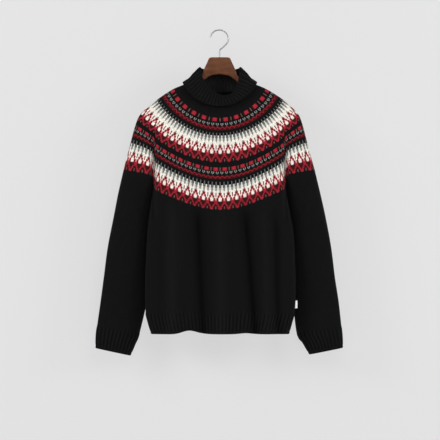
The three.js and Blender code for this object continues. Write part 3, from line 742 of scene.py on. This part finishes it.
def band_of_row(row):
    for item in BANDS:
        if item["first"] <= row < item["first"] + len(item["chart"]):
            return item
    return None


def stitches_of_ring(ring):
    item = band_of_row(ring) or band_of_row(ring - 1)
    if item is None:
        later = [band for band in BANDS if band["first"] > ring]
        item = later[0] if later else BANDS[-1]
    return item["stitches"]


def row_colours(row, stitches, random):
    item = band_of_row(row)
    letters = "K" * stitches
    if item is not None:
        repeat = item["chart"][row - item["first"]]
        letters = (repeat[item["centre"]:] + repeat[: item["centre"]]) * item["repeats"]
    colours = np.array([YARNS[letter] for letter in letters])
    return colours * random.uniform(0.86, 1.12, (stitches, 1))


def make_yoke(material):
    count_repeats()
    random = np.random.default_rng(7)
    parts = Parts()
    rings, painted_light_shades = [], []
    for ring in range(YOKE_ROWS + 1):
        stitches = stitches_of_ring(ring)
        level = ring / YOKE_ROWS
        angles = even_angles(yoke_surface, level, FRONT, FRONT + 2 * math.pi, 2 * stitches)[0][:-1]
        drop = np.where(np.arange(2 * stitches) % 2 == 1, 0.5 / YOKE_ROWS, 0)
        drop = drop if 0 < ring < YOKE_ROWS else 0 * drop
        rings.append(parts.add_points(moved_out(yoke_surface, angles, level + drop, 0.0)))
        # Painted shadow: the top rows, under the collar's edge, are painted darker, fading out downward.
        painted_light_shades.append(np.full(2 * stitches, COLLAR_SHADE * max(0.0, 1 - ring / SHADED_ROWS)))
    for row in range(YOKE_ROWS):
        top, bottom = rings[row], rings[row + 1]
        if len(top) != len(bottom):
            faces, shares = zip_rings(top, bottom)
            uv = np.stack([shares[..., 0] * len(top) / 2, shares[..., 1] + row], -1)
            parts.add_faces(faces, uv, YARNS["K"])
            continue
        j = np.arange(len(top))
        after = (j + 1) % len(top)
        odd = (j % 2) * 0.5
        uv = np.zeros((len(top), 4, 2))
        uv[:, 0:2, 0] = j[:, None] / 2
        uv[:, 2:4, 0] = (j[:, None] + 1) / 2
        uv[:, 0, 1] = row + odd
        uv[:, 1, 1] = row + 1 + odd
        uv[:, 2, 1] = row + 1.5 - odd
        uv[:, 3, 1] = row + 0.5 - odd
        colours = np.repeat(row_colours(row, len(top) // 2, random), 2, axis=0)
        parts.add_faces(np.stack([top, bottom, bottom[after], top[after]], -1), uv, colours)
    inner = []
    for level in np.linspace(0.002, 0.998, 41):
        angles = even_angles(yoke_surface, level, FRONT, FRONT + 2 * math.pi, 240)[0][:-1]
        inner.append(parts.add_points(moved_out(yoke_surface, angles, level, -WALL)))
        painted_light_shades.append(np.zeros(240))
    parts.painted_light_shade = np.concatenate(painted_light_shades)
    after = (np.arange(240) + 1) % 240
    for top, bottom in zip(inner[:-1], inner[1:]):
        parts.add_faces(np.stack([top, top[after], bottom[after], bottom], -1), None, YARNS["K"])
    parts.add_faces(zip_rings(inner[0], rings[0])[0], None, YARNS["K"])
    parts.add_faces(zip_rings(rings[-1], inner[-1])[0], None, YARNS["K"])
    return parts.build("knit_yoke", material, coloured=True)


def collar_surface(angle, level):
    """The collar follows the yoke, and its folded edge reaches further down at the sides."""
    reach = 1 + COLLAR_SIDE_REACH * np.cos(angle) ** 2
    return yoke_surface(angle, np.where(level > 0, level * reach, level))


def collar_path():
    """One rib tube folded outward: the inner face up to the fold, the outer layer down, and back up
    between the layers."""
    outer = COLLAR_LAYER_GAP + CAD_WALL
    half_flare = COLLAR_FLARE / 2
    corners = [
        (0, -CAD_WALL, -0.4),
        (-0.05, -CAD_WALL, -1),
        (-0.15, -CAD_WALL, -1),
        (-0.25, -CAD_WALL, -1),
        (-0.28, -2.4, -0.8),
        (-0.294, -1.0, -0.4),
        (-0.3, 0.6, 0),
        (-0.299, 2.2, 0.4),
        (-0.291, 3.4, 0.7),
        (-0.28, outer - 0.3, 0.9),
        (-0.26, outer, 1),
        (-0.1, outer + half_flare, 1),
        (COLLAR_EDGE - 0.015, outer + COLLAR_FLARE, 1),
        (COLLAR_EDGE - 0.005, outer + COLLAR_FLARE - 0.2, 0.6),
        (COLLAR_EDGE, outer + COLLAR_FLARE - 0.9, 0.2),
        (COLLAR_EDGE, COLLAR_LAYER_GAP + COLLAR_FLARE + 0.4, 0),
        (COLLAR_EDGE - 0.015, COLLAR_LAYER_GAP + COLLAR_FLARE, 0),
        (-0.1, COLLAR_LAYER_GAP + half_flare, 0),
        (-0.262, COLLAR_LAYER_GAP, 0),
        (-0.265, 0.7, 0),
        (-0.262, 0, 0),
        (-0.1, 0, 0),
        (0, 0, 0),
    ]
    points = np.array(corners)
    steps = np.concatenate([[0], np.cumsum(np.hypot(np.diff(points[:, 0]) * 290, np.diff(points[:, 1])))])
    fine = np.unique(np.concatenate([np.arange(0, steps[-1], 4.0), steps]))
    level, out, rib = (np.interp(fine, steps, points[:, i]) for i in range(3))
    # Painted light: the inner face of the collar is painted lighter.
    painted_light_shade = np.where(out < -1, NECK_LIGHT, 0)
    return {"level": level, "out": out, "rib": rib, "row": fine / ROW, "painted_light_shade": painted_light_shade}


def make_collar(material):
    columns = 8 * COLLAR_RIBS
    angles = even_angles(yoke_base, COLLAR_EDGE, 0, 2 * math.pi, columns)[0][:-1]
    return swept(
        "knit_collar", collar_surface, angles, collar_path(), True, material, 4 * COLLAR_RIBS, rib_wave(columns, 8)
    )


def ribbed_path(length):
    """A hem or cuff: ribs that start at the seam, a cast-on line near the edge and a rounded edge."""
    shares = np.array([0, 0.03, 0.08, 0.2, 0.32, 0.44, 0.56, 0.68, 0.8, 0.845, 0.87, 0.895, 0.92, 0.96, 0.99, 1])
    outs = np.array([0, 0, 0, 0, 0, 0, 0, 0, 0, 0, -0.5, 0.2, 0.3, 0.3, -0.2, -0.8])
    ribs = np.array([0, 0.4, 1, 1, 1, 1, 1, 1, 1, 0.8, 0.3, 0.55, 0.6, 0.5, 0.3, 0.1])
    return wall_path(1 + shares, outs, ribs, length)


def make_panel(name, start, towards, material):
    surface = body_surface
    plain_rows = np.linspace(0, 1, 97)
    count = 150
    angles = even_angles(surface, 0.5, start, start + math.pi, count)[0]
    path = wall_path(plain_rows, 0 * plain_rows, 0 * plain_rows, 320)
    body = swept(f"knit_{name}", surface, angles, path, False, material, 410 / STITCH)
    columns = 8 * HEM_RIBS_A_SIDE
    ribs = even_angles(surface, 1.5, start, start + math.pi, columns)[0]
    hem = swept(
        f"knit_hem_{name}", surface, ribs, ribbed_path(60), False, material, 4 * HEM_RIBS_A_SIDE,
        rib_wave(columns + 1, 8),
    )
    return body, hem


def make_sleeve(name, side, material):
    surface = sleeve_surface(side)
    plain_rows = np.linspace(0, 1, 127)
    angles = even_angles(surface, 0.4, 0, 2 * math.pi, 104)[0][:-1]
    path = wall_path(plain_rows, 0 * plain_rows, 0 * plain_rows, 420)
    sleeve = swept(f"knit_sleeve_{name}", surface, angles, path, True, material, round(235 / STITCH))
    columns = 8 * CUFF_RIBS
    ribs = even_angles(surface, 1.5, 0, 2 * math.pi, columns)[0][:-1]
    cuff = swept(
        f"knit_cuff_{name}", surface, ribs, ribbed_path(60), True, material, 4 * CUFF_RIBS, rib_wave(columns, 8)
    )
    return sleeve, cuff


# The label and the hanger


def make_label(material):
    """The plain side tab: a folded tape on the CAD piece's own place."""
    low, high = (np.array(corner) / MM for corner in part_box("side_label"))
    parts = Parts()
    across = np.linspace(low[0], high[0], 7)
    down = np.linspace(high[2], low[2], 15)
    middle, half = (low[1] + high[1]) / 2, (high[1] - low[1]) / 2
    x, z = np.meshgrid(across, down, indexing="ij")
    bow = 0.35 * np.sin(math.pi * (down - low[2]) / (high[2] - low[2]))[None, :] * np.linspace(0, 1, 7)[:, None]
    front = parts.add_points(np.stack([x, middle - half * 0.9 + bow, z], -1))
    back = parts.add_points(np.stack([x, middle + half * 0.9 + bow, z], -1))
    for grid, order in ((front, 1), (back, -1)):
        quads = np.stack([grid[:-1, :-1], grid[:-1, 1:], grid[1:, 1:], grid[1:, :-1]], -1).reshape(-1, 4)
        parts.add_faces(quads[:, ::order])
    rim_front = np.concatenate([front[:, 0], front[-1, 1:], front[-2::-1, -1], front[0, -2:0:-1]])
    rim_back = np.concatenate([back[:, 0], back[-1, 1:], back[-2::-1, -1], back[0, -2:0:-1]])
    after = (np.arange(len(rim_front)) + 1) % len(rim_front)
    parts.add_faces(np.stack([rim_front, rim_front[after], rim_back[after], rim_back], -1))
    return parts.build("label_tape_tab", material)


SHOULDER_LEVELS = np.array([0, 0.06, 0.14, 0.22, 0.3, 0.38, 0.46, 0.56, 0.67, 0.78, 0.9, 1])


def shoulder_z(x, side):
    line = read_table(YOKE, "at", "sideZ", SHOULDER_LEVELS)
    return np.interp(x, read_table(YOKE, "at", side, SHOULDER_LEVELS), line)


def arm_top_z(x):
    cloth = np.minimum(shoulder_z(x, "left"), shoulder_z(x, "right"))
    slope = (shoulder_z(x + 1, "right") - shoulder_z(x - 1, "right")) / 2
    return cloth - CAD_WALL * np.hypot(1, slope) - CLOTH_CLEARANCE


def wood_stations():
    arm_x = np.array([96, 110, 130, 150, 170, 182])
    share = (arm_x - ARM_ROOT_X) / (ARM_TIP_X - ARM_ROOT_X)
    arm_top = arm_top_z(arm_x)
    arm_bottom = arm_top - (ARM_HEIGHT + (ARM_TIP_HEIGHT - ARM_HEIGHT) * share)
    tip_top = arm_top_z(ARM_TIP_X - 3)
    return table(
        "x top bottom",
        *WOOD_HEAD,
        *zip(arm_x, arm_top, arm_bottom),
        (ARM_TIP_X - 3, tip_top - 0.5, tip_top - ARM_TIP_HEIGHT + 1),
        (ARM_TIP_X, tip_top - 4, tip_top - ARM_TIP_HEIGHT + 4),
    )


def rounded_section(half_height, half_depth, radius):
    """A rounded rectangle in depth and height, anticlockwise, with 6 points at each corner."""
    points = []
    for corner, (sy, sz) in enumerate(((1, 1), (-1, 1), (-1, -1), (1, -1))):
        for turn in np.linspace(0, math.pi / 2, 6) + corner * math.pi / 2:
            y = sy * (half_depth - radius) + radius * math.cos(turn)
            points.append((y, sz * (half_height - radius) + radius * math.sin(turn)))
    return np.array(points)


def make_wood(material):
    rows = wood_stations()
    half = np.concatenate([np.linspace(0, 24, 9), np.linspace(26, 60, 24), np.linspace(64, 186, 42)])
    half = np.concatenate([half, [187.5, 188.6, 189.6, 190.4, ARM_TIP_X]])
    stations = np.concatenate([-half[:0:-1], half])
    parts = Parts()
    rings = []
    for x in stations:
        top = np.interp(abs(x), rows["x"], rows["top"]) if abs(x) < 26 or abs(x) > 186 else None
        top = read_table(rows, "x", "top", abs(x)) if top is None else top
        bottom = read_table(rows, "x", "bottom", abs(x))
        height = (top - bottom) / 2
        tip = smooth(0, 4, ARM_TIP_X - abs(x))
        depth = WOOD_THICKNESS / 2 * (0.55 + 0.45 * tip)
        section = rounded_section(height, depth, min(4.2, height * 0.8, depth * 0.95))
        points = np.stack([np.full(24, x), section[:, 0], (top + bottom) / 2 + section[:, 1]], -1)
        rings.append(parts.add_points(points))
    after = (np.arange(24) + 1) % 24
    for i, (here, there) in enumerate(zip(rings[:-1], rings[1:])):
        parts.add_faces(np.stack([here, there, there[after], here[after]], -1))
    for ring, order in ((rings[0], 1), (rings[-1], -1)):
        fan = [(ring[0], ring[i], ring[i + 1]) for i in range(1, 23)]
        parts.add_faces(np.array(fan)[:, ::order])
    return parts.build("hanger_wood_shaped", material, sharp=60)


def hook_path():
    """The wire's middle line: the bend, from its tip over the top, and the stem into the wood."""
    turn = np.radians(np.linspace(168, -15, 84))
    centre_x, centre_z = -0.9, HOOK_WIRE / 2 - HOOK_RADIUS
    bend = np.stack([centre_x + HOOK_RADIUS * np.cos(turn), centre_z + HOOK_RADIUS * np.sin(turn)], -1)
    corners = np.array([bend[-4], bend[-1], (16, -39.5), (6, -48.5), (0.8, -52.5), (0, -59), (0, -66), (0, WOOD_TOP_Z + 0.3), (0, -80)])
    stem = []
    for a, b, c, d in zip(corners[:-3], corners[1:-2], corners[2:-1], corners[3:]):
        for t in np.linspace(0, 1, 13)[1:]:
            stem.append(hermite(b, c, (c - a) / 2, (d - b) / 2, t))
    line = np.concatenate([bend, stem])
    return np.stack([line[:, 0], np.zeros(len(line)), line[:, 1]], -1)


def hermite(b, c, slope_b, slope_c, t):
    across = 3 * t**2 - 2 * t**3
    return b * (1 - across) + c * across + (t**3 - 2 * t**2 + t) * slope_b + (t**3 - t**2) * slope_c


def make_hook(material):
    path = hook_path()
    along = unit(np.gradient(path, axis=0))
    side = np.array([0.0, 1.0, 0.0])
    radii = np.full(len(path), HOOK_WIRE / 2)
    radii[:3] = np.array([0.55, 0.85, 0.97]) * HOOK_WIRE / 2
    turn = np.linspace(0, 2 * math.pi, 17)[:-1]
    parts = Parts()
    rings = []
    for point, forward, radius in zip(path, along, radii):
        up = np.cross(side, forward)
        ring = point + radius * (np.cos(turn)[:, None] * up + np.sin(turn)[:, None] * side)
        rings.append(parts.add_points(ring))
    after = (np.arange(16) + 1) % 16
    for here, there in zip(rings[:-1], rings[1:]):
        parts.add_faces(np.stack([here, here[after], there[after], there], -1))
    for ring, order in ((rings[0], -1), (rings[-1], 1)):
        fan = [(ring[0], ring[i], ring[i + 1]) for i in range(1, 15)]
        parts.add_faces(np.array(fan)[:, ::order])
    return parts.build("hook_wire_bent", material, sharp=60)


# Materials


class Graph:
    """A material's nodes, made one by one."""

    def __init__(self, name):
        self.material = bpy.data.materials.new(name)
        self.material.use_nodes = True
        self.tree = self.material.node_tree
        self.shader = self.tree.nodes["Principled BSDF"]

    def add(self, kind, settings=None, **inputs):
        node = self.tree.nodes.new(kind)
        for name, value in (settings or {}).items():
            setattr(node, name, value)
        for name, value in inputs.items():
            self.feed(node.inputs[name.replace("_", " ")], value)
        return node

    def feed(self, socket, value):
        if isinstance(value, bpy.types.NodeSocket):
            self.tree.links.new(value, socket)
        else:
            socket.default_value = value

    def math(self, operation, *values):
        node = self.add("ShaderNodeMath", {"operation": operation})
        for socket, value in zip(node.inputs, values):
            self.feed(socket, value)
        return node.outputs[0]

    def mix(self, blend, factor, a, b):
        node = self.add("ShaderNodeMix", {"data_type": "RGBA", "blend_type": blend})
        self.feed(node.inputs[0], factor)
        self.feed(node.inputs[6], a)
        self.feed(node.inputs[7], b)
        return node.outputs[2]

    def noise(self, scale, detail=2.0, vector=None):
        node = self.add("ShaderNodeTexNoise", Scale=scale, Detail=detail)
        source = vector or self.add("ShaderNodeTexCoord").outputs["Object"]
        self.tree.links.new(source, node.inputs["Vector"])
        return node.outputs["Fac"]

    def ramp(self, value, *stops):
        node = self.add("ShaderNodeValToRGB", Fac=value)
        node.color_ramp.elements[0].position, node.color_ramp.elements[0].color = stops[0]
        node.color_ramp.elements[1].position, node.color_ramp.elements[1].color = stops[-1]
        for position, colour in stops[1:-1]:
            node.color_ramp.elements.new(position).color = colour
        return node.outputs["Color"]

    def finish(self, **values):
        for name, value in values.items():
            self.feed(self.shader.inputs[name.replace("_", " ")], value)
        return self.material


def rgba(colour, scale=1.0):
    return (*(channel * scale for channel in colour), 1.0)


def stitch_height(graph):
    """The rounded legs of knit stitches, from the stitch coordinates: two slanted legs a stitch."""
    split = graph.add("ShaderNodeSeparateXYZ", Vector=graph.add("ShaderNodeUVMap", {"uv_map": "stitches"}).outputs[0])
    u, v = split.outputs["X"], split.outputs["Y"]
    slant = graph.math("ABSOLUTE", graph.math("SUBTRACT", graph.math("FRACT", u), 0.5))
    leg = graph.math("SUBTRACT", graph.math("FRACT", graph.math("MULTIPLY", u, 2.0)), 0.5)
    row = graph.math("SUBTRACT", graph.math("FRACT", graph.math("ADD", v, slant)), 0.5)
    across = graph.math("SUBTRACT", 1.0, graph.math("MULTIPLY", graph.math("MULTIPLY", leg, leg), 4.0))
    along = graph.math("SUBTRACT", 1.0, graph.math("MULTIPLY", graph.math("MULTIPLY", row, row), 2.6))
    return graph.math("MULTIPLY", across, along)


def knit_material(name, colour=None):
    """Wool. The colour is one yarn's, or comes from the yarn attribute where none is given. It has painted
    shade between the stitch legs and painted light and shade from a point attribute.
    """
    graph = Graph(name)
    height = stitch_height(graph)
    fibres = graph.noise(2600.0, 3.0)
    relief = graph.math("ADD", height, graph.math("MULTIPLY", fibres, 0.35))
    bump = graph.add("ShaderNodeBump", Strength=0.8, Distance=0.0007, Height=relief)
    base = rgba(colour) if colour else graph.add("ShaderNodeVertexColor", {"layer_name": "yarn"}).outputs["Color"]
    # Painted shade: the colour is darker between the stitch legs, where the height is low.
    painted_stitch_shade = graph.ramp(height, (0.0, rgba((0.55, 0.55, 0.55))), (0.7, rgba((1, 1, 1))))
    shaded = graph.mix("MULTIPLY", 1.0, base, painted_stitch_shade)
    heather = graph.ramp(graph.noise(420.0, 2.0), (0.3, rgba((0.82, 0.82, 0.82))), (0.7, rgba((1.18, 1.18, 1.2))))
    shaded = graph.mix("MULTIPLY", 1.0, shaded, heather)
    # Painted light and shade from the point attribute: fold ridges, rib tops and the inside of the neck lighter, fold
    # troughs, rib grooves and the yoke under the collar darker.
    painted_light_shade = graph.add("ShaderNodeAttribute", {"attribute_name": "painted_light_shade"}).outputs["Fac"]
    shaded = graph.mix("MULTIPLY", 1.0, shaded, graph.math("MAXIMUM", graph.math("ADD", painted_light_shade, 1.0), 0.3))
    return graph.finish(
        Base_Color=shaded, Roughness=0.92, Normal=bump.outputs["Normal"], Specular_IOR_Level=0.08,
        Sheen_Weight=0.02, Sheen_Roughness=0.4, Sheen_Tint=rgba((0.7, 0.7, 0.73)),
    )


def wood_material():
    graph = Graph("stained_wood")
    place = graph.add("ShaderNodeTexCoord").outputs["Object"]
    stretched = graph.add("ShaderNodeMapping", Vector=place, Scale=(9.0, 90.0, 120.0)).outputs[0]
    grain = graph.noise(1.6, 6.0, stretched)
    colour = graph.ramp(
        grain,
        (0.26, rgba((0.062, 0.020, 0.0075))),
        (0.50, rgba((0.098, 0.033, 0.0125))),
        (0.76, rgba((0.136, 0.049, 0.020))),
    )
    wear = graph.ramp(graph.noise(38.0, 3.0), (0.45, rgba((0.9, 0.9, 0.9))), (0.72, rgba((1.25, 1.2, 1.15))))
    bump = graph.add("ShaderNodeBump", Strength=0.25, Distance=0.0003, Height=grain)
    return graph.finish(
        Base_Color=graph.mix("MULTIPLY", 1.0, colour, wear), Roughness=0.5, Normal=bump.outputs["Normal"],
        Specular_IOR_Level=0.16, Coat_Weight=0.05, Coat_Roughness=0.3,
    )


def chrome_material():
    graph = Graph("plated_wire")
    return graph.finish(Base_Color=rgba((0.34, 0.34, 0.35)), Metallic=1.0, Roughness=0.38)


def label_material():
    graph = Graph("white_tape")
    weave = graph.noise(1800.0, 2.0)
    bump = graph.add("ShaderNodeBump", Strength=0.4, Distance=0.0002, Height=weave)
    return graph.finish(Base_Color=rgba((0.86, 0.86, 0.83)), Roughness=0.8, Normal=bump.outputs["Normal"])


# The room, the lights and the camera


def make_plane(name, corners, material):
    mesh = bpy.data.meshes.new(name)
    mesh.from_pydata(corners, [], [(0, 1, 2, 3)])
    mesh.materials.append(material)
    plane = bpy.data.objects.new(name, mesh)
    bpy.context.scene.collection.objects.link(plane)
    return plane


def wall_material():
    """Matte paint that shows from the front only, so that the back of the jumper can be looked at."""
    graph = Graph("wall_paint")
    graph.finish(
        Base_Color=rgba((0.14, 0.14, 0.14)), Roughness=1.0, Specular_IOR_Level=0.0,
        Emission_Color=rgba((0.585, 0.585, 0.585)), Emission_Strength=1.0,
    )
    clear = graph.add("ShaderNodeBsdfTransparent")
    behind = graph.add("ShaderNodeNewGeometry").outputs["Backfacing"]
    chooser = graph.add("ShaderNodeMixShader")
    links = graph.tree.links
    links.new(behind, chooser.inputs[0])
    links.new(graph.shader.outputs[0], chooser.inputs[1])
    links.new(clear.outputs[0], chooser.inputs[2])
    links.new(chooser.outputs[0], graph.tree.nodes["Material Output"].inputs["Surface"])
    return graph.material


def floor_material():
    graph = Graph("floor_paint")
    return graph.finish(Base_Color=rgba((0.78, 0.78, 0.78)), Roughness=1.0, Specular_IOR_Level=0.0)


WALL_Y = 0.09
FLOOR_Z = -1.6


def make_room():
    far = 6.0
    wall = make_plane(
        "wall", [(-far, WALL_Y, FLOOR_Z), (far, WALL_Y, FLOOR_Z), (far, WALL_Y, far), (-far, WALL_Y, far)],
        wall_material(),
    )
    wall.visible_shadow = False
    wall.visible_diffuse = False
    wall.visible_glossy = False
    make_plane(
        "floor", [(-far, -far, FLOOR_Z), (far, -far, FLOOR_Z), (far, far, FLOOR_Z), (-far, far, FLOOR_Z)],
        floor_material(),
    )


def aim(thing, target):
    direction = np.array(target) - np.array(thing.location)
    flat = math.hypot(direction[0], direction[1])
    thing.rotation_euler = (math.atan2(flat, -direction[2]), 0, math.atan2(-direction[0], direction[1]))


def make_light(name, place, target, size, power):
    light = bpy.data.lights.new(name, "AREA")
    light.shape = "DISK"
    light.size = size
    light.energy = power
    lamp = bpy.data.objects.new(name, light)
    lamp.location = place
    bpy.context.scene.collection.objects.link(lamp)
    aim(lamp, target)
    return lamp


def make_lights():
    middle = (0, 0, -0.5)
    make_light("key", (-3.0, -1.7, 1.0), middle, 1.4, 90)
    make_light("fill", (3.0, -1.6, 0.4), middle, 1.4, 70)
    make_light("front", (0.6, -4.0, 1.6), middle, 2.4, 60)
    make_light("back", (0.8, 3.4, 0.9), middle, 2.4, 50)
    world = bpy.data.worlds.new("pale_room")
    world.use_nodes = True
    world.node_tree.nodes["Background"].inputs["Color"].default_value = rgba((0.9, 0.9, 0.9))
    world.node_tree.nodes["Background"].inputs["Strength"].default_value = 0.4
    bpy.context.scene.world = world
    bpy.context.scene.view_settings.view_transform = "Standard"


CAMERA_DISTANCE = 14.0
FRAMED_WIDTH = 1.204
PICTURE_CENTRE = (0.0011, -0.51975)
CLOTH_FRONT_Y = -0.045


def make_camera():
    camera = bpy.data.cameras.new("camera")
    camera.sensor_width = 36
    camera.lens = camera.sensor_width * CAMERA_DISTANCE / FRAMED_WIDTH
    camera.clip_end = 50
    holder = bpy.data.objects.new("camera", camera)
    holder.location = (PICTURE_CENTRE[0], CLOTH_FRONT_Y - CAMERA_DISTANCE, PICTURE_CENTRE[1])
    holder.rotation_euler = (math.pi / 2, 0, 0)
    bpy.context.scene.collection.objects.link(holder)
    bpy.context.scene.camera = holder


# Putting it together.


def declare(node):
    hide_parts(node)


def main():
    black = knit_material("black_wool", YARNS["K"])
    pattern = knit_material("pattern_wool")
    yoke = make_yoke(pattern)
    collar = make_collar(black)
    front, hem_front = make_panel("front", math.pi, -1, black)
    back, hem_back = make_panel("back", 0, 1, black)
    left, cuff_left = make_sleeve("left", -1, black)
    right, cuff_right = make_sleeve("right", 1, black)
    # Painted light and shade of the upright folds on the yoke, body and hem.
    for piece in (yoke, front, back, hem_front, hem_back):
        shade_folds(piece)
    label = make_label(label_material())
    wood = make_wood(wood_material())
    hook = make_hook(chrome_material())
    declare("yoke")
    declare("collar")
    declare("body_front")
    declare("body_back")
    declare("hem_front")
    declare("hem_back")
    declare("sleeve_left")
    declare("sleeve_right")
    declare("cuff_left")
    declare("cuff_right")
    declare("side_label")
    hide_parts("hanger_wood")
    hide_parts("hanger_hook")
    make_room()
    make_lights()
    make_camera()


main()
